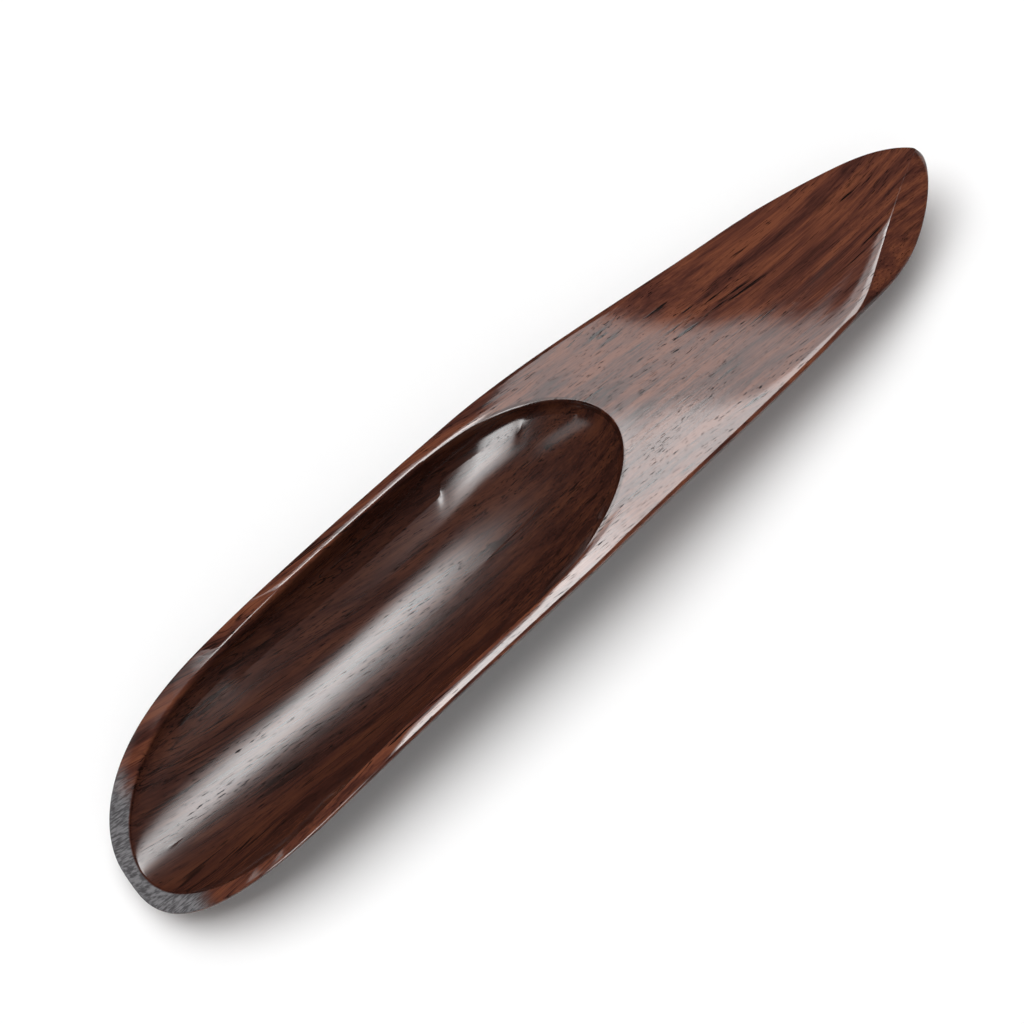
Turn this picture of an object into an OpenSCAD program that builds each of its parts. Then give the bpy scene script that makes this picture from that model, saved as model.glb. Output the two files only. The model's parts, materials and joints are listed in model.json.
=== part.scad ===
// Tea scoop carved from one billet of dark rosewood.
// The long axis is X: the pouring lip is at -X and the tip of the handle at +X.
// The scoop rests on the flat sole under its bowl, which lies on z = 0.
// The surface is one skin of closed rings, from the sole up the hull, over the rim and
// the handle's top, and down into the hollow. Each ring has the same stations: they start
// at the lip, run along the near side (-Y) to the tip and come back along the far side.

/* [Overall size] */
// Length from the lip to the tip of the handle
length = 180; // [165:1:200]
// Greatest width, across the bowl
width = 42; // [38:0.1:46]
// Height of the rim at its crest
height = 15; // [14:0.1:17]

/* [Plan outline] */
// Length over which the front of the bowl is rounded
front_round = 38; // [30:0.5:45]
// Width that the slow taper behind the shoulder takes off, from there to the tip
bowl_taper = 3.8; // [2:0.1:6]
// Width that the handle's own taper takes off as well, from the waist to the tip
handle_taper = 13; // [9:0.5:16]
// Length over which the end of the handle is rounded
end_round = 40; // [30:0.5:46]

/* [Side profile] */
// Height of the rim at the lip
lip_h = 5.1; // [4.6:0.1:6]
// Height of the rim at the shoulder, behind the lip
shoulder_h = 12.5; // [11.5:0.1:13.2]
// Height of the handle's top at the bottom of its dip
dip_h = 10.3; // [9.5:0.1:12]
// Height of the handle's top at the tip
tip_h = 13.2; // [12:0.1:14.5]
// Thickness of the lip a little behind its edge
lip_wall = 3.6; // [2.8:0.1:4.2]
// Height of the underside below the tip
tip_lift = 4.6; // [3.5:0.1:6]

/* [Sole] */
// Width of the flat sole
sole_w = 10; // [6:0.5:14]
// Distance from the lip to the start of the sole
sole_from_lip = 30; // [24:1:40]
// Length of the flat sole
sole_len = 95; // [80:1:100]
// Distance from the tip to where the underside's middle line ends
keel_to_tip = 10; // [7:0.5:14]

/* [Hollow] */
// Length of the hollow, from the lip's inner edge to its rounded rear end
hollow_len = 109; // [100:0.5:115]
// Length over which the rear end of the hollow is rounded
rear_round = 36; // [30:0.5:44]
// Width of the rim on top
rim_w = 3; // [2.4:0.1:3.6]
// Thickness of the wood under the floor of the hollow
floor_wall = 4.4; // [3.4:0.1:5]
// Rise of the floor from the middle of the hollow to its rear end
floor_rise = 6.6; // [4:0.1:8]
// Drop of the rim's inner edge below its outer edge, near the lip
rim_cant = 1.5; // [0:0.1:2.2]

/* [End of the handle] */
// Height of the bevel round the tip
bevel_h = 4; // [3:0.1:5]
// Height of the bevel at the tip itself
nose_h = 2.4; // [1.6:0.1:2.9]
// Width of the bevel on the far side of the tip
bevel_far = 1.6; // [1:0.1:3]
// Length of the straight ridge that the cut on the near side leaves
cut_len = 22; // [18:0.5:26]
// Width of the handle's top, from the axis, where that ridge starts
cut_w = 12.9; // [10:0.1:14]
// Fall of the handle's top from its near edge to its far edge, over its last part
top_fall = 1.45; // [0:0.05:1.8]

/* [Edges] */
// Size of the small rounding on the edges of the rim
edge_r = 0.35; // [0.2:0.05:0.6]
// Rounding of the corner where the ridge leaves the rim
corner_r = 1; // [0.4:0.1:2]

/* [Hidden] */

// Stations along each side, and steps up each part of the skin
stations = 80;
hull_step_shares = [0, 0.14, 0.28, 0.42, 0.55, 0.67, 0.78, 0.87, 0.94, 0.98, 1];
top_step_shares = [0, 0.1, 0.22, 0.36, 0.5, 0.64, 0.78, 0.9, 1];
hollow_step_shares = [1, 0.985, 0.95, 0.89, 0.8, 0.68, 0.54, 0.38, 0.2, 0];

// Places along the scoop where a curve starts, turns or ends, as shares of the length
shoulder_share = 1 / 6;
crest_share = 0.53;
dip_share = 0.866;
taper_share = 0.25;
waist_share = 0.52;
cant_full_share = 0.085;
cant_end_share = 0.305;
bowl_section_share = 0.14;
tip_section_from_share = 0.78;
tip_section_full_share = 0.98;
front_section_share = 0.08;
rear_section_share = 0.4;
bevel_from_share = 0.83;
bevel_full_share = 0.94;
nose_from_share = 0.92;
fall_from_share = 0.6;
fall_full_share = 0.95;

// Places along the hollow, as shares of its length: where its floor's middle line starts,
// starts to rise and ends, and where its stations stop keeping in step with the hull's
floor_start_share = 0.083;
floor_rise_share = 0.4;
floor_end_share = 0.72;
join_share = 0.72;
floor_join_share = 0.62;

// The rounded front of the hollow, as a share of the bowl's, and the rim's width at the lip
// as a share of its width elsewhere
hollow_front_share = 0.8;
lip_rim_share = 0.93;
// Start of the keel line, as a share of the way from the lip to the sole
keel_start_share = 1 / 3;
// How far the bevel at the tip reaches in from it, as a share of the bevel's width
nose_inset_share = 0.42;

// Slopes of the side profile where its curves join
lip_slope = 0.45;
shoulder_slope = 0.11;
tip_slope = 0.16;

// Curve of the handle's taper and of the ridge: 1 is straight
handle_curve = 1.15;
ridge_curve = 1.15;

// Fullness of the rounded outlines: 2 is an ellipse, more is squarer. The tip's outline has
// one value for where it leaves the handle's sides and one for the tip itself.
front_full = 2.45;
tip_full = 3.7;
nose_full = 1.5;
hollow_front_full = 2.15;
hollow_rear_full = 2.8;
sole_full = 4;
// Fullness of the underside at the lip, the bowl and the tip: more is squarer
lip_section = 5;
bowl_section = 2.3;
tip_section = 3;
// Fullness of the hollow's cross-section at its front and further back
front_section = 1.9;
rear_section = 2.4;

lip_x = -length / 2;
tip_x = length / 2;

function clamp01(s) = min(1, max(0, s));
function smooth(s) = let (c = clamp01(s)) c * c * (3 - 2 * c);
function mix(a, b, s) = a + (b - a) * s;
// A smooth step from 0 to 1 between two shares of the length
function stretch(x, from, to) = smooth(((x - lip_x) / length - from) / (to - from));

// One piece of a smooth curve between heights a and b, with slopes times span da and db
function curve(s, a, b, da, db) =
    a * (2 * s ^ 3 - 3 * s ^ 2 + 1) + da * (s ^ 3 - 2 * s ^ 2 + s)
    + b * (3 * s ^ 2 - 2 * s ^ 3) + db * (s ^ 3 - s ^ 2);

// Rounding of an outline's end: 1 before it starts, 0 at the end itself
function rounding(past, span, full, root) = (1 - clamp01(past / span) ^ full) ^ (1 / root);

// Side profile of the rim and the handle's top
profile = [
    [lip_x, lip_h, lip_slope],
    [lip_x + shoulder_share * length, shoulder_h, shoulder_slope],
    [lip_x + crest_share * length, height, 0],
    [lip_x + dip_share * length, dip_h, 0],
    [tip_x, tip_h, tip_slope]
];
function top_piece(x, k = 0) =
    k == len(profile) - 2 || x <= profile[k + 1][0] ? k : top_piece(x, k + 1);
function top_z(x) =
    let (k = top_piece(x), a = profile[k], b = profile[k + 1], span = b[0] - a[0])
    curve((x - a[0]) / span, a[1], b[1], a[2] * span, b[2] * span);

// Plan outline of the hull
taper_x = lip_x + taper_share * length;
waist_x = lip_x + waist_share * length;
function side_w(x) =
    width / 2 - bowl_taper / 2 * max(0, x - taper_x) / (tip_x - taper_x)
    - handle_taper / 2 * (max(0, x - waist_x) / (tip_x - waist_x)) ^ handle_curve;
function hull_w(x) =
    side_w(x) * rounding(lip_x + front_round - x, front_round, front_full, front_full)
    * rounding(x - tip_x + end_round, end_round, tip_full, nose_full);

// The bevel round the tip grows over the last part of the handle
function bevel_part(x) = stretch(x, bevel_from_share, bevel_full_share);
function bevel_drop(x) =
    mix(edge_r, mix(bevel_h, nose_h, stretch(x, nose_from_share, 1)), bevel_part(x));

// Half widths of the handle's top: the far side follows the hull and the near side is
// cut off along the ridge
top_tip_x = tip_x - bevel_far * nose_inset_share;
function far_w(x) = max(0, hull_w(x) - mix(edge_r, bevel_far, bevel_part(x)));
function ridge_w(x) = cut_w * (max(0, top_tip_x - x) / cut_len) ^ ridge_curve;
function soft_min(a, b, r) = let (d = max(0, r - abs(a - b))) min(a, b) - d * d / (4 * r);
function near_w(x) = max(0, soft_min(far_w(x), ridge_w(x), corner_r));

// Height of the underside along the middle
sole_x0 = lip_x + sole_from_lip;
sole_x1 = sole_x0 + sole_len;
keel_x0 = lip_x + sole_from_lip * keel_start_share;
keel_x1 = tip_x - keel_to_tip;
function keel_z(x) =
    x < sole_x0 ? (lip_h - lip_wall) * ((sole_x0 - x) / (sole_x0 - keel_x0)) ^ 2
    : x > sole_x1 ? tip_lift * ((x - sole_x1) / (keel_x1 - sole_x1)) ^ 2
    : 0;
function section_full(x) =
    bowl_section
    + (lip_section - bowl_section) * (1 - stretch(x, 0, bowl_section_share))
    + (tip_section - bowl_section) * stretch(x, tip_section_from_share, tip_section_full_share);

// Plan outline of the hollow, and the line along the bottom of its floor
hollow_x0 = lip_x + rim_w * lip_rim_share;
hollow_x1 = hollow_x0 + hollow_len;
hollow_front = front_round * hollow_front_share;
function hollow_w(x) =
    (side_w(x) - rim_w) * rounding(hollow_x0 + hollow_front - x, hollow_front, hollow_front_full, 2)
    * rounding(x - hollow_x1 + rear_round, rear_round, hollow_rear_full, 2);
function cant(x) = rim_cant * (1 - stretch(x, cant_full_share, cant_end_share));
function hollow_section(x) =
    mix(front_section, rear_section, stretch(x, front_section_share, rear_section_share));
floor_mid_x = mix(hollow_x0, hollow_x1, floor_rise_share);
function floor_z(x) =
    floor_wall + floor_rise * (max(0, x - floor_mid_x) / (hollow_x1 - floor_mid_x)) ^ 2;

// The stations of the three inner outlines follow those of the hull: they keep in step
// beside the bowl, and those of the handle gather round the rear of the hollow
join_x = mix(hollow_x0, hollow_x1, join_share);
floor_x0 = mix(hollow_x0, hollow_x1, floor_start_share);
floor_join_x = mix(hollow_x0, hollow_x1, floor_join_share);
floor_x1 = mix(hollow_x0, hollow_x1, floor_end_share);
function in_step(x, a0, a1, a2, b0, b1, b2) =
    x < a1 ? mix(b0, b1, (x - a0) / (a1 - a0)) : mix(b1, b2, (x - a1) / (a2 - a1));

// Height of the rim and of the handle's top at a place, with the fall towards the far side
function deck_z(p) =
    top_z(p[0]) - top_fall * stretch(p[0], fall_from_share, fall_full_share) * p[1] / (2 * cut_w);

// Station i of each ring: its share of the length, and its side
function along(i) = (1 - cos(180 * (i <= stations ? i : 2 * stations - i) / stations)) / 2;
function side(i) = i % stations == 0 ? 0 : i < stations ? -1 : 1;

function hull_at(i) = let (x = mix(lip_x, tip_x, along(i))) [x, side(i) * hull_w(x)];
function sole_at(i) =
    let (x = mix(keel_x0, keel_x1, along(i)))
    [x, side(i) * sole_w / 2 * sqrt(1 - (2 * along(i) - 1) ^ sole_full)];
function edge_at(i) =
    let (x = mix(lip_x + edge_r, top_tip_x, along(i)))
    [x, side(i) * (side(i) < 0 ? near_w(x) : far_w(x))];
function hollow_x(i) =
    in_step(mix(lip_x, top_tip_x, along(i)), lip_x, join_x, top_tip_x, hollow_x0, join_x, hollow_x1);
function hollow_at(i, out = 0) =
    let (x = hollow_x(i), s = (x - hollow_x0) / hollow_len)
    [x + out * (2 * s - 1), side(i) * (hollow_w(x) + out * sqrt(4 * s * max(0, 1 - s)))];
function floor_at(i) =
    let (x = in_step(hollow_x(i), hollow_x0, join_x, hollow_x1, floor_x0, floor_join_x, floor_x1),
         s = (x - floor_x0) / (floor_x1 - floor_x0))
    [x, side(i) * rim_w / 2 * sqrt(4 * s * max(0, 1 - s))];

// Rings of the skin, from the sole to the floor of the hollow
function hull_ring(s) = [for (i = [0 : 2 * stations - 1])
    let (a = sole_at(i), b = hull_at(i), p = mix(a, b, s), full = section_full(b[0]),
         low = keel_z(a[0]), high = deck_z(b) - bevel_drop(b[0]))
    [p[0], p[1], mix(low, high, s ^ full)]];
function top_ring(s) = [for (i = [0 : 2 * stations - 1])
    let (a = hollow_at(i, edge_r), b = edge_at(i), p = mix(a, b, s))
    [p[0], p[1], deck_z(p) - cant(p[0]) * (1 - s)]];
function hollow_ring(r) = [for (i = [0 : 2 * stations - 1])
    let (a = floor_at(i), b = hollow_at(i), p = mix(a, b, r),
         rim = deck_z(b) - cant(b[0]) - edge_r,
         full = hollow_section(b[0]), wall = 1 - (1 - r ^ full) ^ (1 / full))
    [p[0], p[1], floor_z(p[0]) + (rim - floor_z(b[0])) * wall]];

rings = concat(
    [for (s = hull_step_shares) hull_ring(s)],
    [for (s = top_step_shares) top_ring(1 - s)],
    [for (r = hollow_step_shares) hollow_ring(r)]
);

// Skin over a list of rings, closed by a strip across the first and the last of them
module skin(rings) {
    n = len(rings[0]);
    sides = [for (k = [0 : len(rings) - 2], i = [0 : n - 1])
        let (a = k * n + i, b = k * n + (i + 1) % n) each [[a, b + n, b], [a, a + n, b + n]]];
    function strip(from) = [for (i = [0 : n / 2 - 1])
        let (a = from + i, b = from + n - i - 1, c = from + (n - i) % n)
        each concat(i == 0 ? [] : [[a, b, c]], i == n / 2 - 1 ? [] : [[a, a + 1, b]])];
    function turned(faces) = [for (f = faces) [f[0], f[2], f[1]]];
    bottom = strip(0);
    lid = turned(strip((len(rings) - 1) * n));
    polyhedron([for (ring = rings) each ring], concat(sides, bottom, lid));
}

// The whole scoop, one piece of wood
module scoop() {
    color("#4a2418") skin(rings);
}

scoop();
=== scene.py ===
# %% [markdown]
# # A tea scoop of dark rosewood
#
# The scoop is cut from one piece of wood, so this scene dresses one CAD node. The work lies in three
# things: a surface that is smooth enough to be polished, a wood that runs through the whole piece, and
# a light that shows both. The frame comes first, because the scoop's mesh and its place come from it.

# %% The frame
import json
import math
from collections import Counter, deque

import bmesh
import bpy
from mathutils import Matrix, Vector

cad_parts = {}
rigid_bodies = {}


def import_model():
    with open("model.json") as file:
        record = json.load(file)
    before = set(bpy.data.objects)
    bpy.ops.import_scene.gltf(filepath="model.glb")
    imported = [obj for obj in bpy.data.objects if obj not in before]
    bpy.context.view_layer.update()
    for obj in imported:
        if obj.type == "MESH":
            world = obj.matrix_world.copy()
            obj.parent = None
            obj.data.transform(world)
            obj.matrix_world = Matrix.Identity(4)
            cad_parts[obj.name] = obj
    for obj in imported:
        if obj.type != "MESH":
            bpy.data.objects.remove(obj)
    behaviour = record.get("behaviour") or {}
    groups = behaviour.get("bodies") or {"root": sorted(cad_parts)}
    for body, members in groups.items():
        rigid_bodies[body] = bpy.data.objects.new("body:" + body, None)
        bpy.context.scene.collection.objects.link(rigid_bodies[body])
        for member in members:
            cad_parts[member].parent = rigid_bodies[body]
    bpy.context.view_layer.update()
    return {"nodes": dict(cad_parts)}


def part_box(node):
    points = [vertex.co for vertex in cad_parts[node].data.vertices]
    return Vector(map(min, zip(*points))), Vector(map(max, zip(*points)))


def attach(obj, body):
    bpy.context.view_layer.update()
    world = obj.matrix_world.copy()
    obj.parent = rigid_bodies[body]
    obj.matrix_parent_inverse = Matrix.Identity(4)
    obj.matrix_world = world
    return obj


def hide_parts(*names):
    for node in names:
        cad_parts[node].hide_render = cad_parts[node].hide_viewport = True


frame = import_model()

MM = 0.001
low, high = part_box("scoop")
print("scoop from", [round(v / MM, 1) for v in low], "to", [round(v / MM, 1) for v in high], "mm")

# %% [markdown]
# ## The camera
#
# The photographer looks down on the scoop at a steep angle, from its near side, with a long lens and
# the camera turned on its axis, so that the scoop lies across the picture from corner to corner. The
# camera is placed from those facts: how high it looks down, how wide the picture is at the scoop, and
# how far it is turned.

# %% Camera
LOOK_DOWN = math.radians(58.0)
TURN = math.radians(41.67)
PICTURE_WIDTH = 169.7 * MM
AIM = Vector((-0.55 * MM, 0.0, 12.3 * MM))
LENS = 100.0
SENSOR = 36.0
NEAREST = 10 * MM


def add_camera():
    """A long-lens camera that looks at AIM from the near side, turned by TURN."""
    lens = bpy.data.cameras.new("camera")
    lens.lens = LENS
    lens.sensor_width = SENSOR
    lens.clip_start = NEAREST
    camera = bpy.data.objects.new("camera", lens)
    bpy.context.scene.collection.objects.link(camera)
    level_right = Vector((1, 0, 0))
    level_up = Vector((0, math.sin(LOOK_DOWN), math.cos(LOOK_DOWN)))
    back = Vector((0, -math.cos(LOOK_DOWN), math.sin(LOOK_DOWN)))
    right = level_right * math.cos(TURN) - level_up * math.sin(TURN)
    up = level_right * math.sin(TURN) + level_up * math.cos(TURN)
    camera.matrix_world = Matrix((right, up, back)).transposed().to_4x4()
    camera.location = AIM + back * PICTURE_WIDTH * LENS / SENSOR
    bpy.context.scene.camera = camera
    return camera


camera = add_camera()
print("camera", round(camera.location.length, 3), "m away")

# %% [markdown]
# ## The carved body
#
# The CAD node already has the true shape, but as flat triangles with split corners, which a polished
# surface shows at once. A copy of its mesh is merged, its triangles are paired back into the four-sided
# faces that run round and along the scoop, and a Subdivision Surface turns them into one smooth skin.
# The small roundings on the rim's edges are in the CAD shape already, as narrow faces, and the
# smoothing keeps them small, as sanding leaves them.
#
# Blender's own Tris to Quads guesses each pair from its shape, and a wrong guess on a long thin face
# leaves a ripple in the shine. Here the pairs are read from the mesh instead. Its triangles form a
# lattice, with three families of edges that follow one another in the same order round every triangle.
# One diagonal is known, the longest side of a triangle on the bowl's floor, and a walk from neighbour
# to neighbour finds all the others.

# %% Pairs of triangles
ON_FLOOR = Vector((-30, 8, 5)) * MM
REGULAR = 6
BOTH_TRIANGLES = 2


def diagonal_sides(shape, seed):
    """For each triangle its side on the lattice's diagonals, found by a walk that starts at seed."""
    found = {seed: max(seed.loops, key=lambda side: side.edge.calc_length())}
    queue = deque([seed])
    while queue:
        diagonal = found[queue.popleft()]
        if any(len(point.link_edges) != REGULAR for point in diagonal.face.verts):
            continue
        after = diagonal.link_loop_next
        before = diagonal.link_loop_prev
        steps = [
            (diagonal.link_loop_radial_next, diagonal.link_loop_radial_next),
            (after.link_loop_radial_next, after.link_loop_radial_next.link_loop_prev),
            (before.link_loop_radial_next, before.link_loop_radial_next.link_loop_next)]
        for entered, its_diagonal in steps:
            if entered.face not in found:
                found[entered.face] = its_diagonal
                queue.append(entered.face)
    return found


def pair_triangles(mesh):
    """Takes out the diagonals, so that the four-sided faces are left."""
    shape = bmesh.new()
    shape.from_mesh(mesh)
    seed = min(shape.faces, key=lambda face: (face.calc_center_median() - ON_FLOOR).length)
    found = diagonal_sides(shape, seed)
    marks = Counter(side.edge for side in found.values())
    diagonals = [edge for edge, times in marks.items() if times == BOTH_TRIANGLES]
    bmesh.ops.dissolve_edges(shape, edges=diagonals)
    shape.to_mesh(mesh)
    shape.free()


# %% [markdown]
# ## The rim and the edges
#
# Two things are done before the smoothing. Sanding leaves both sides of a rim a few hundredths of a
# millimetre lower than its middle, and that small crown decides where the rim shines. So `crown_rim`
# walks from each point of the bowl's edge over the top to the outer edge, and lowers the points near
# both ends of the walk by up to 0.03 mm. A point that two walks share is lowered twice. That happens
# on the top behind the bowl, and inside the bowl too: its floor looks up as the top does, so walks
# cross it as well, and its sides are lowered with the rest.
#
# Then three lines are bevelled: the tip's ridge, the bowl's edge wherever the top beside it is wide,
# and the line where the bowl's floor turns up into its wall. Without that the Subdivision Surface would
# pull the faces beside a sharp edge round over their whole width. The Bevel tool is asked for 0.3 mm,
# but it is also told not to let anything overlap, and it then cuts every bevel down to what fits the
# narrowest place. That leaves about 0.01 mm, so these bends stay crisp, and the bevel only holds their
# sides. The rest of the bowl's edge isn't bevelled, because the CAD shape has it round already.

# %% Rim and edges
# The two ends of the bowl's middle line, and how far up a face has to look to belong to the top
BOWL_LINE = (-75 * MM, 0.0)
LEVEL = 0.8
CROWN = 0.03 * MM
CROWN_REACH = 1.15 * MM
CROWN_FROM = -64 * MM
CROWN_GROWS = 14 * MM
WIDE_RIM = 4.5 * MM
WHOLE_WALK = 3
RIDGE_ANGLE = math.radians(22)
RIDGE_FROM = 62 * MM
RIDGE_LEVEL = 0.9
BEVEL_ASKED = 0.3 * MM
BEVEL_FACES = 2
BEVEL_PROFILE = 0.7


def towards_bowl(face, point):
    """Whether a face near point looks towards the bowl's middle line."""
    middle = Vector((min(max(point.co.x, BOWL_LINE[0]), BOWL_LINE[1]), 0, point.co.z))
    return face.normal.dot(middle - point.co) > 0


def over_the_top(start, top):
    """The points from one on the bowl's edge straight over the rim to its outer edge."""
    line = [start]
    ahead = [edge for edge in start.link_edges if set(edge.link_faces) <= top]
    while len(ahead) == 1:
        passed = set(ahead[0].link_faces)
        line.append(ahead[0].other_vert(line[-1]))
        ahead = [
            edge for edge in line[-1].link_edges
            if not set(edge.link_faces) & passed and set(edge.link_faces) <= top]
    return line


def crown_rim(shape):
    """Lowers both sides of the rim's flat top a little, and gives back the edges to be held."""
    top = {face for face in shape.faces if face.normal.z > LEVEL}
    inner = [
        point for point in shape.verts
        if any(face in top for face in point.link_faces)
        and any(face not in top and towards_bowl(face, point) for face in point.link_faces)]
    held = set()
    for point in inner:
        line = over_the_top(point, top)
        steps = [(b.co - a.co).length for a, b in zip(line, line[1:])]
        width = sum(steps)
        if len(line) < WHOLE_WALK or width > WIDE_RIM:
            held.add(point)
        share = min(1.0, max(0.0, (point.co.x - CROWN_FROM) / CROWN_GROWS))
        gone = 0.0
        for each, step in zip(line, [0.0, *steps]):
            gone += step
            near_edge = max(0.0, 1 - min(gone, width - gone) / CROWN_REACH)
            each.co.z -= CROWN * share * near_edge ** 2
    print("rim crowned along", len(inner), "walks, of which", len(held), "are short or wide")
    edges = {edge for point in held for edge in point.link_edges if edge.other_vert(point) in held}
    return [edge for edge in edges if any(face in top for face in edge.link_faces)]


def hold_edges(shape, edges):
    """Bevels the tip's ridge and the given edges, so that all beside them keeps its shape."""
    ridge = [
        edge for edge in shape.edges
        if edge.calc_face_angle(0.0) > RIDGE_ANGLE
        and max(face.normal.z for face in edge.link_faces) > RIDGE_LEVEL
        and min(point.co.x for point in edge.verts) > RIDGE_FROM]
    bmesh.ops.bevel(
        shape, geom=ridge + edges, offset=BEVEL_ASKED, offset_type="OFFSET", segments=BEVEL_FACES,
        profile=BEVEL_PROFILE, affect="EDGES", clamp_overlap=True)
    print("held", len(ridge), "edges of the ridge and", len(edges), "of the bowl")


# %% [markdown]
# ## One smooth skin
#
# The steps come together here. The copy's double points are merged first, because the lattice can only
# be walked where neighbouring triangles share their points.

# %% Carved body
MERGE = 0.001 * MM
SUBDIVISIONS = 2


def deselect():
    """Leaves nothing selected, because operators act on all that is selected."""
    for each in bpy.context.view_layer.objects:
        each.select_set(False)


def carved_body():
    """The scoop as one smooth mesh, from a copy of the CAD node's."""
    deselect()
    piece = bpy.data.objects.new("scoop_body", frame["nodes"]["scoop"].data.copy())
    bpy.context.scene.collection.objects.link(piece)
    bpy.context.view_layer.objects.active = piece
    piece.select_set(True)
    bpy.ops.object.mode_set(mode="EDIT")
    bpy.ops.mesh.select_all(action="SELECT")
    bpy.ops.mesh.remove_doubles(threshold=MERGE)
    bpy.ops.mesh.normals_make_consistent(inside=False)
    bpy.ops.object.mode_set(mode="OBJECT")
    pair_triangles(piece.data)
    shape = bmesh.new()
    shape.from_mesh(piece.data)
    shape.normal_update()
    hold_edges(shape, crown_rim(shape))
    shape.to_mesh(piece.data)
    shape.free()
    sides = Counter(len(face.vertices) for face in piece.data.polygons)
    print("faces by number of sides", dict(sides))
    smooth = piece.modifiers.new("smooth", "SUBSURF")
    smooth.levels = SUBDIVISIONS
    smooth.render_levels = SUBDIVISIONS
    bpy.ops.object.modifier_apply(modifier=smooth.name)
    bpy.ops.object.shade_smooth()
    return piece


body = carved_body()
print("carved body", len(body.data.vertices), "points", len(body.data.polygons), "faces")

# %% [markdown]
# ## Writing materials as sums
#
# A wood is a long sum of patterns, and a sum is easier to read as an expression than as a chart of
# nodes. The class below wraps one socket. Adding or multiplying two of them adds the Math node that
# does it, and every other kind of node is made by one method.

# %% Sockets that can be added up
# A Mix node has sockets for each kind of data. These are its factor, its two colours and its result.
MIX_FACTOR = 0
MIX_OFF = 6
MIX_ON = 7
MIX_RESULT = 2
NEW_STOP = 0.5


def set_stops(ramp, stops):
    """Gives a colour ramp its stops, each a place from 0 to 1 and a colour. It begins with two."""
    for _ in stops[2:]:
        ramp.elements.new(NEW_STOP)
    for element, (place, colour) in zip(ramp.elements, stops):
        element.position = place
        element.color = (*colour, 1.0)


class Wire:
    """One socket of a material, with the operators that add Math nodes."""

    def __init__(self, tree, socket=None):
        self.tree = tree
        self.socket = socket

    def node(self, kind, settings=None, inputs=None, output=0):
        """Adds a node of that kind, with its settings first and then its sockets."""
        made = self.tree.nodes.new(kind)
        for name, value in (settings or {}).items():
            if name == "stops":
                set_stops(made.color_ramp, value)
            else:
                setattr(made, name, value)
        for name, value in (inputs or {}).items():
            if isinstance(value, Wire):
                self.tree.links.new(value.socket, made.inputs[name])
            else:
                made.inputs[name].default_value = value
        return Wire(self.tree, made.outputs[output] if made.outputs else None)

    def math(self, operation, *terms):
        return self.node("ShaderNodeMath", {"operation": operation}, dict(enumerate(terms)))

    def __add__(self, other):
        return self.math("ADD", self, other)

    def __radd__(self, other):
        return self.math("ADD", other, self)

    def __sub__(self, other):
        return self.math("SUBTRACT", self, other)

    def __rsub__(self, other):
        return self.math("SUBTRACT", other, self)

    def __mul__(self, other):
        return self.math("MULTIPLY", self, other)

    def __rmul__(self, other):
        return self.math("MULTIPLY", other, self)

    def step(self, start, end):
        """Rises smoothly from 0 at start to 1 at end, or falls where end is the lower."""
        rising = self.node(
            "ShaderNodeMapRange", {"interpolation_type": "SMOOTHSTEP"},
            {"Value": self, "From Min": min(start, end), "From Max": max(start, end)})
        return rising if start < end else 1 - rising

    def tint(self, off, on):
        """A colour that goes from off to on as this value goes from 0 to 1."""
        inputs = {MIX_FACTOR: self}
        for socket, colour in ((MIX_OFF, off), (MIX_ON, on)):
            inputs[socket] = colour if isinstance(colour, Wire) else (*colour, 1.0)
        return self.node("ShaderNodeMix", {"data_type": "RGBA"}, inputs, MIX_RESULT)


# %% [markdown]
# ## The grain
#
# Wood grows in layers round the tree's axis, so its pattern fills the billet and the carver's cut only
# uncovers it. That is why the pattern here is a solid one, read in millimetres from the scoop's own
# place. The grain runs from the lip to the tip. In the bowl it falls away to the near side, more so on
# the far half, and on the handle it runs nearly straight.
#
# Each pattern is noise drawn out along the grain. The table gives its length and width in millimetres,
# its detail, and a shift that keeps it apart from the others. Some patterns are cut into patches: there
# is nothing of them below the first of their two levels, and all of them above the second.

# %% Grain
FAR_HALF = (-12, 4)
BOWL_BEGINS = -40
BOWL_ENDS = 15.0
BOWL_BLEND = 20.0
NEAR_DRIFT = 0.03
FAR_DRIFT = 0.12
HANDLE_DRIFT = 0.03
SWAY_ACROSS = 3.2
SWAY_UP = 1.5
NOISE_MIDDLE = 0.5
NOISE_ROUGHNESS = 0.55
SMEAR_ROUGHNESS = 0.62
PATTERNS = {
    "sway": (38, 7, 1.0, 3.1),
    "bands": (60, 2.6, 3.0, 1.7),
    "clouds": (13, 1.7, 2.0, 3.6),
    "fibres": (8, 0.40, 3.0, 8.3),
    "hairs": (3.0, 0.17, 2.0, 4.9),
    "rings": (190, 2.4, 1.0, 1.1),
    "crowd": (60, 4.5, 2.0, 6.4),
    "broken": (14, 0.6, 2.0, 2.2),
    "smears": (26, 0.9, 3.0, 7.7),
    "dashes": (2.2, 0.19, 1.0, 9.6),
    "open_grain": (30, 3.0, 1.0, 5.5),
    "ticks": (1.5, 0.3, 2.0, 2.7),
}
LEVELS = {
    "crowd": (0.40, 0.58),
    "broken": (0.36, 0.56),
    "smears": (0.56, 0.68),
    "dashes": (0.62, 0.69),
    "open_grain": (0.36, 0.60),
    "ticks": (0.35, 0.65),
}


def own_place(start):
    """Place along the scoop, across it and up, in millimetres."""
    place = start.node("ShaderNodeTexCoord", output="Object")
    return [start.node("ShaderNodeSeparateXYZ", None, {0: place}, axis) * (1 / MM) for axis in range(3)]


def grain_axes(start, place):
    """Place along the grain, across it and up, in millimetres."""
    along, across, up = place
    far_half = across.step(*FAR_HALF)
    bowl = start.math("SMOOTH_MIN", along, BOWL_ENDS, BOWL_BLEND)
    drift = (far_half * FAR_DRIFT + NEAR_DRIFT) * (bowl - BOWL_BEGINS) + along * HANDLE_DRIFT
    return along, across + drift, up


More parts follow.
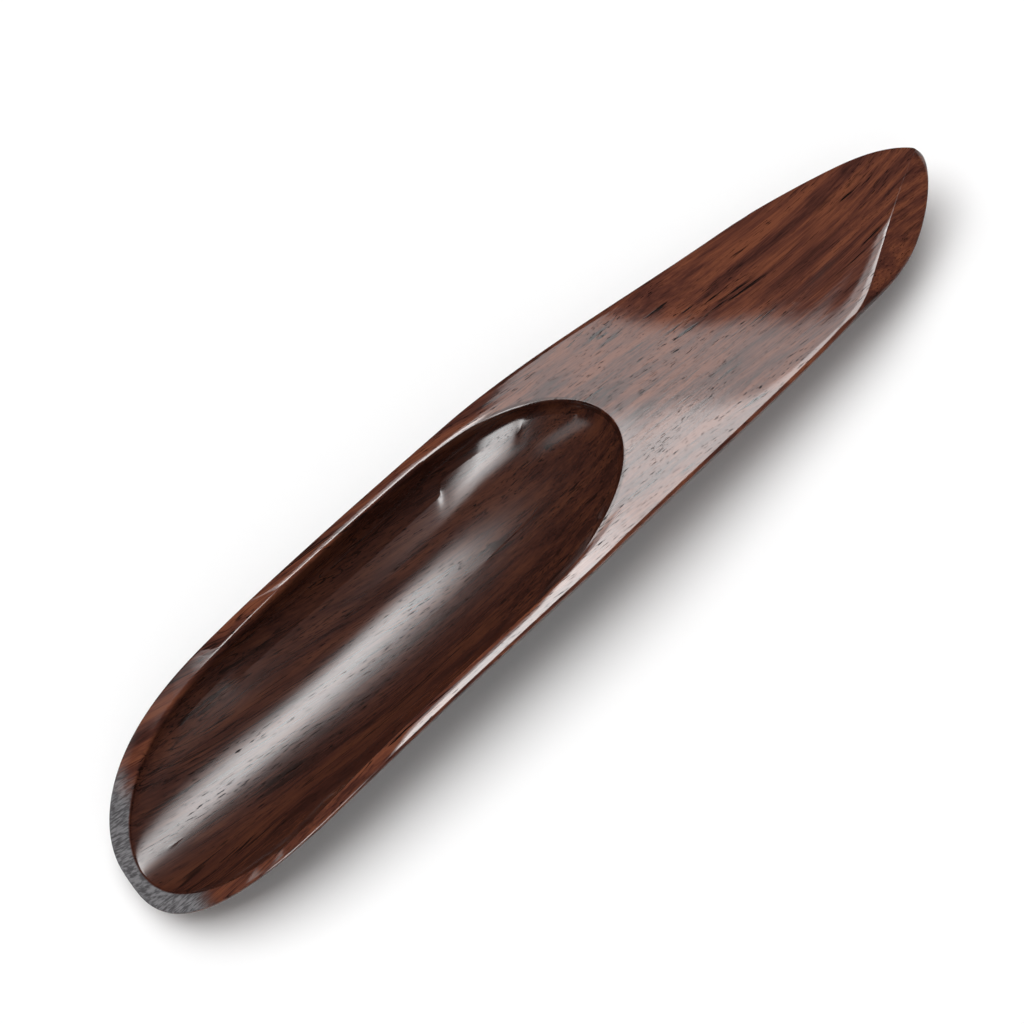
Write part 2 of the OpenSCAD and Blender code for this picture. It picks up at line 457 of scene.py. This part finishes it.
def pattern(start, axes, name, roughness=NOISE_ROUGHNESS):
    """One pattern of the table, along the given axes."""
    along, across, up = axes
    length, width, detail, shift = PATTERNS[name]
    where = start.node("ShaderNodeCombineXYZ", None, {
        "X": along * (1 / length) + shift, "Y": across * (1 / width) + shift, "Z": up * (1 / width)})
    return start.node("ShaderNodeTexNoise", None, {
        "Vector": where, "Scale": 1.0, "Detail": detail, "Roughness": roughness})


def patches(start, axes, name, roughness=NOISE_ROUGHNESS):
    """A pattern of the table, cut into patches at its levels."""
    return pattern(start, axes, name, roughness).step(*LEVELS[name])


def swaying(start, axes):
    """The same axes, with the grain swaying a little from side to side."""
    along, across, up = axes
    sway = pattern(start, axes, "sway") - NOISE_MIDDLE
    return along, across + sway * SWAY_ACROSS, up + sway * SWAY_UP


# %% [markdown]
# ## The figure
#
# Dark rosewood has a red-brown ground, broad bands that go nearly black, thin dark lines that keep
# together in bundles, and open pores that show as short black dashes. Each is one pattern with its own
# length and width along the grain, laid over the one before. On the handle the lines are faint, since
# the cut there runs along them and would draw knots.

# %% Figure
GROUND_DARK = (0.030, 0.0115, 0.0093)
GROUND_RED = (0.080, 0.0255, 0.0172)
GROUND_ORANGE = (0.160, 0.051, 0.0260)
GROUND_STOPS = ((0.42, GROUND_DARK), (0.53, GROUND_RED), (0.65, GROUND_ORANGE))
STREAK = (0.0075, 0.0040, 0.0034)
BAND_TONE = 0.46
CLOUD_TONE = 0.26
FIBRE_TONE = 0.28
HAIR_TONE = 0.12
LINES_PER_RING = 12
HALF_LINE = 0.5
LINE_SIDES = (0.16, 0.03)
LINES_FADE = (34, 8)
HANDLE_LINES = 0.2
BUNDLED_LINES = 0.8
LONE_LINES = 0.1
LONE_PORES = 0.25


def ground_colour(start, axes, fibres, hairs):
    """The red-brown ground, with its bands and clouds."""
    bands = pattern(start, axes, "bands")
    clouds = pattern(start, axes, "clouds")
    tone = bands * BAND_TONE + clouds * CLOUD_TONE + fibres * FIBRE_TONE + hairs * HAIR_TONE
    return start.node("ShaderNodeValToRGB", {"stops": GROUND_STOPS}, {"Fac": tone})


def dark_streaks(start, axes):
    """How much of a dark line or smear there is, from 0 to 1."""
    rings = pattern(start, axes, "rings")
    crowd = patches(start, axes, "crowd")
    lines = start.math("PINGPONG", rings * LINES_PER_RING, HALF_LINE).step(*LINE_SIDES)
    lines = lines * patches(start, axes, "broken")
    lines = lines * (axes[0].step(*LINES_FADE) * (1 - HANDLE_LINES) + HANDLE_LINES)
    smears = patches(start, axes, "smears", SMEAR_ROUGHNESS)
    return start.math("MAXIMUM", lines * (crowd * BUNDLED_LINES + LONE_LINES), smears * crowd)


def open_pores(start, axes):
    """Short dashes, most of them where the grain is open."""
    open_grain = patches(start, axes, "open_grain")
    return patches(start, axes, "dashes") * (open_grain * (1 - LONE_PORES) + LONE_PORES)


# %% [markdown]
# ## Where the finish changes
#
# A finish is never the same all over. The wood in the bowl is painted darker, as painted shade in
# the hollow. On the lip the cut goes across the fibres, so end grain shows, and it takes no polish; its
# light grey is a painted sheen, the light that the rough end grain scatters. The far rim near the
# lip is kept dull too, because the lamps would light it where the photographer's didn't. The hollow's
# outline comes from the same formula as the CAD model's: two rounded ends with straight sides between.

# %% Areas
# Half the hollow's width, and for each rounded end where it begins, its length and its fullness
HOLLOW_HALF = 17.8
HOLLOW_FRONT = (-56.8, 30.4, 2.15)
HOLLOW_REAR = (-14.2, 36.0, 2.8)
OUTLINE_EDGE = (1.03, 1.0)
LIP_BEGINS = (-77.5, -83)
LIP_FACES_UP = (0.2, 0.6)
DULL_ALONG = (-50, -60)
DULL_ACROSS = (2, 8)
DULL_SHARE = 0.93


def past_outline(start, place, end, beyond):
    """Below 1 inside the hollow's outline and above 1 outside, at one rounded end of it."""
    _, length, fullness = end
    beyond = start.math("MAXIMUM", beyond, 0.0) * (1 / length)
    aside = start.math("ABSOLUTE", place[1]) * (1 / HOLLOW_HALF)
    return start.math("POWER", beyond, fullness) + aside * aside


def areas(start, place):
    """The bowl, the lip's end grain and the dull part of the far rim, each from 0 to 1."""
    along, across, _ = place
    front = past_outline(start, place, HOLLOW_FRONT, HOLLOW_FRONT[0] - along).step(*OUTLINE_EDGE)
    rear = past_outline(start, place, HOLLOW_REAR, along - HOLLOW_REAR[0]).step(*OUTLINE_EDGE)
    normal = start.node("ShaderNodeNewGeometry", output="Normal")
    facing_up = start.node("ShaderNodeSeparateXYZ", None, {0: normal}, 2)
    lip = along.step(*LIP_BEGINS) * (1 - front) * facing_up.step(*LIP_FACES_UP)
    dull = along.step(*DULL_ALONG) * across.step(*DULL_ACROSS) * (1 - front) * DULL_SHARE
    return front * rear, lip, dull


# %% [markdown]
# ## Rosewood
#
# Now the material can be put together. The polish is a Principled shader whose gloss is crisp on the
# handle and softer in the bowl, which is harder to rub down. A second shader without gloss lies
# wherever no polish takes, and the Mix Shader goes from one to the other.

# %% Rosewood
PORE = (0.0040, 0.0024, 0.0022)
# Painted sheen on the lip's end grain: the light grey that its rough cut fibres scatter, and darker
# streaks in it.
LIP_PAINTED_SHEEN = (0.185, 0.180, 0.186)
LIP_PAINTED_SHEEN_STREAK = (0.070, 0.066, 0.069)
# Painted shade in the bowl: the colour its wood is darkened towards, and how far.
PAINTED_SHADE_COLOUR_IN_BOWL = (0.0130, 0.0030, 0.0014)
PAINTED_SHADE_SHARE_IN_BOWL = 0.64
DULL_WOOD = (0.0, 0.2)
HAIR_RELIEF = 0.35
FIBRE_RELIEF = 0.4
STREAK_RELIEF = 0.2
BUMP_STRENGTH = 0.10
BUMP_HEIGHT = 0.016 * MM
ROUGHNESS = 0.03
FIBRE_ROUGHNESS = 0.02
BOWL_ROUGHNESS = 0.11
WOOD_IOR = 1.5
MATT_GLOSS = 0.05


def rosewood():
    """The whole finish of the scoop."""
    material = bpy.data.materials.new("rosewood")
    material.use_nodes = True
    tree = material.node_tree
    tree.nodes.clear()
    start = Wire(tree)
    place = own_place(start)
    straight = grain_axes(start, place)
    axes = swaying(start, straight)
    fibres = pattern(start, axes, "fibres")
    hairs = pattern(start, axes, "hairs")
    streaks = dark_streaks(start, axes)
    bowl, lip, dull = areas(start, place)

    wood = streaks.tint(ground_colour(start, axes, fibres, hairs), STREAK)
    # Painted shade: the wood inside the bowl is darkened.
    wood = (bowl * PAINTED_SHADE_SHARE_IN_BOWL).tint(wood, PAINTED_SHADE_COLOUR_IN_BOWL)
    # Painted sheen: the lip's end grain is painted light grey, with darker streaks along its fibres.
    lip_painted_sheen = patches(start, straight, "ticks").tint(LIP_PAINTED_SHEEN_STREAK, LIP_PAINTED_SHEEN)
    matt_colour = lip.tint(dull.step(*DULL_WOOD).tint(PORE, wood), lip_painted_sheen)

    relief = hairs * HAIR_RELIEF + fibres * FIBRE_RELIEF - streaks * STREAK_RELIEF
    bump = start.node("ShaderNodeBump", None, {
        "Strength": BUMP_STRENGTH, "Distance": BUMP_HEIGHT, "Height": relief})
    polished = start.node("ShaderNodeBsdfPrincipled", None, {
        "Base Color": wood, "Roughness": fibres * FIBRE_ROUGHNESS + bowl * BOWL_ROUGHNESS + ROUGHNESS,
        "Normal": bump, "IOR": WOOD_IOR})
    matt = start.node("ShaderNodeBsdfPrincipled", None, {
        "Base Color": matt_colour, "Roughness": 1.0, "Specular IOR Level": MATT_GLOSS})
    unpolished = start.math("MAXIMUM", start.math("MAXIMUM", open_pores(start, axes), lip), dull)
    surface = start.node("ShaderNodeMixShader", None, {0: unpolished, 1: polished, 2: matt})
    start.node("ShaderNodeOutputMaterial", None, {"Surface": surface})
    return material


body.data.materials.clear()
body.data.materials.append(rosewood())
print("rosewood of", len(body.data.materials[0].node_tree.nodes), "nodes")
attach(body, "root")
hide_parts("scoop")

# %% [markdown]
# ## Floor and light
#
# The scoop lies on a plain white ground, without gloss of its own. A long softbox stands behind it and
# draws the bright line down the floor of the bowl and along the rim. A second one at the front left
# lights the rounded end of the bowl. What only a gloss sees and what only a matt surface sees can be
# told apart, so the shadow can stay deep while the gloss stays bright.

# %% Floor
FLOOR_SIZE = 4.0
FLOOR_COLOUR = (0.93, 0.93, 0.93, 1.0)


def add_floor():
    """A plain white ground."""
    deselect()
    bpy.ops.mesh.primitive_plane_add(size=FLOOR_SIZE)
    floor = bpy.context.object
    floor.name = "floor"
    material = bpy.data.materials.new("floor")
    material.use_nodes = True
    surface = material.node_tree.nodes["Principled BSDF"]
    surface.inputs["Base Color"].default_value = FLOOR_COLOUR
    surface.inputs["Roughness"].default_value = 1.0
    surface.inputs["Specular IOR Level"].default_value = 0.0
    floor.data.materials.append(material)
    return floor


floor = add_floor()
print("floor", [round(v, 2) for v in floor.dimensions])

# %% [markdown]
# ## Softboxes
#
# A studio softbox is brightest in its middle, and the shine on the wood shows it. So each one is made
# of a few rectangles of different size, laid over one another, whose light adds up towards the middle.
# The lower edges of the one behind the scoop draw the slanting end of the shine on the handle. Its core
# is four strips that begin together and end one after the other, so that no hard end shows on the near
# rim. A small, weak card stands at the left. Two more lamps, one overhead and one in front, light only
# matt surfaces, which are the floor and the colour of the wood.
#
# A lamp is placed by two angles as seen from the scoop. Azimuth 0 is at +X, 90 is behind the scoop and
# 270 is at its near side. The elevation is measured from the ground.

# %% Softboxes
# Azimuth, elevation, distance, width, height, brightness, and a turn in the lamp's own plane
GLOSS_LAMPS = {
    "back_wide": (75.2, 63.0, 8.07, 5.21, 2.24, 2.8, 22.1),
    "back_middle": (76.7, 62.8, 8.06, 4.91, 1.47, 4.4, 19.4),
    "back_core_0": (100.8, 63.3, 8.02, 1.63, 1.05, 1.0, -3.6),
    "back_core_1": (98.4, 63.3, 8.02, 1.93, 1.05, 1.0, -1.5),
    "back_core_2": (96.0, 63.3, 8.02, 2.23, 1.05, 1.0, 0.7),
    "back_core_3": (93.6, 63.3, 8.02, 2.53, 1.05, 1.0, 2.8),
    "left_top": (216.9, 65.5, 3.08, 0.60, 1.65, 3.6, 47.3),
    "left_middle": (219.4, 64.7, 3.06, 0.49, 1.36, 3.4, 45.0),
    "left_strip": (227.2, 45.0, 3.06, 0.63, 3.00, 4.6, 17.2),
    "left_low": (233.0, 34.7, 3.24, 0.77, 2.20, 5.0, 8.9),
    "card_left": (157, 55, 3.0, 0.45, 0.8, 1.4, 0.0),
}
MATT_LAMPS = {
    "sky": (72, 77, 3.0, 4.2, 3.6, 2.2, 0.0),
    "fill": (270, 40, 3.0, 4.0, 2.0, 0.8, 0.0),
}
ENERGY_PER_AREA = 4


def add_softbox(name, azimuth, elevation, distance, width, height, brightness, turn, gloss):
    """A rectangular lamp that faces the scoop and lights either gloss or matt surfaces."""
    lamp = bpy.data.lights.new(name, "AREA")
    lamp.shape = "RECTANGLE"
    lamp.size = width
    lamp.size_y = height
    lamp.energy = ENERGY_PER_AREA * width * height * brightness
    lit = bpy.data.objects.new(name, lamp)
    bpy.context.scene.collection.objects.link(lit)
    flat = math.cos(math.radians(elevation))
    towards = Vector((
        flat * math.cos(math.radians(azimuth)), flat * math.sin(math.radians(azimuth)),
        math.sin(math.radians(elevation))))
    lit.location = towards * distance
    spin = Matrix.Rotation(math.radians(turn), 3, "Z").to_quaternion()
    lit.rotation_euler = ((-towards).to_track_quat("-Z", "Y") @ spin).to_euler()
    lit.visible_glossy = gloss
    lit.visible_diffuse = not gloss


for lamp_name, numbers in GLOSS_LAMPS.items():
    add_softbox(lamp_name, *numbers, gloss=True)
for lamp_name, numbers in MATT_LAMPS.items():
    add_softbox(lamp_name, *numbers, gloss=False)

# %% [markdown]
# ## The room
#
# A little even light from all round stands for the room's white walls. The Standard view transform
# shows the colours as they are, and keeps the ground white.

# %% Room
ROOM_LIGHT = 0.03

world = bpy.data.worlds.new("studio")
world.use_nodes = True
background = world.node_tree.nodes["Background"]
background.inputs["Color"].default_value = (1.0, 1.0, 1.0, 1.0)
background.inputs["Strength"].default_value = ROOM_LIGHT
bpy.context.scene.world = world
bpy.context.scene.view_settings.view_transform = "Standard"
print("room light", ROOM_LIGHT)
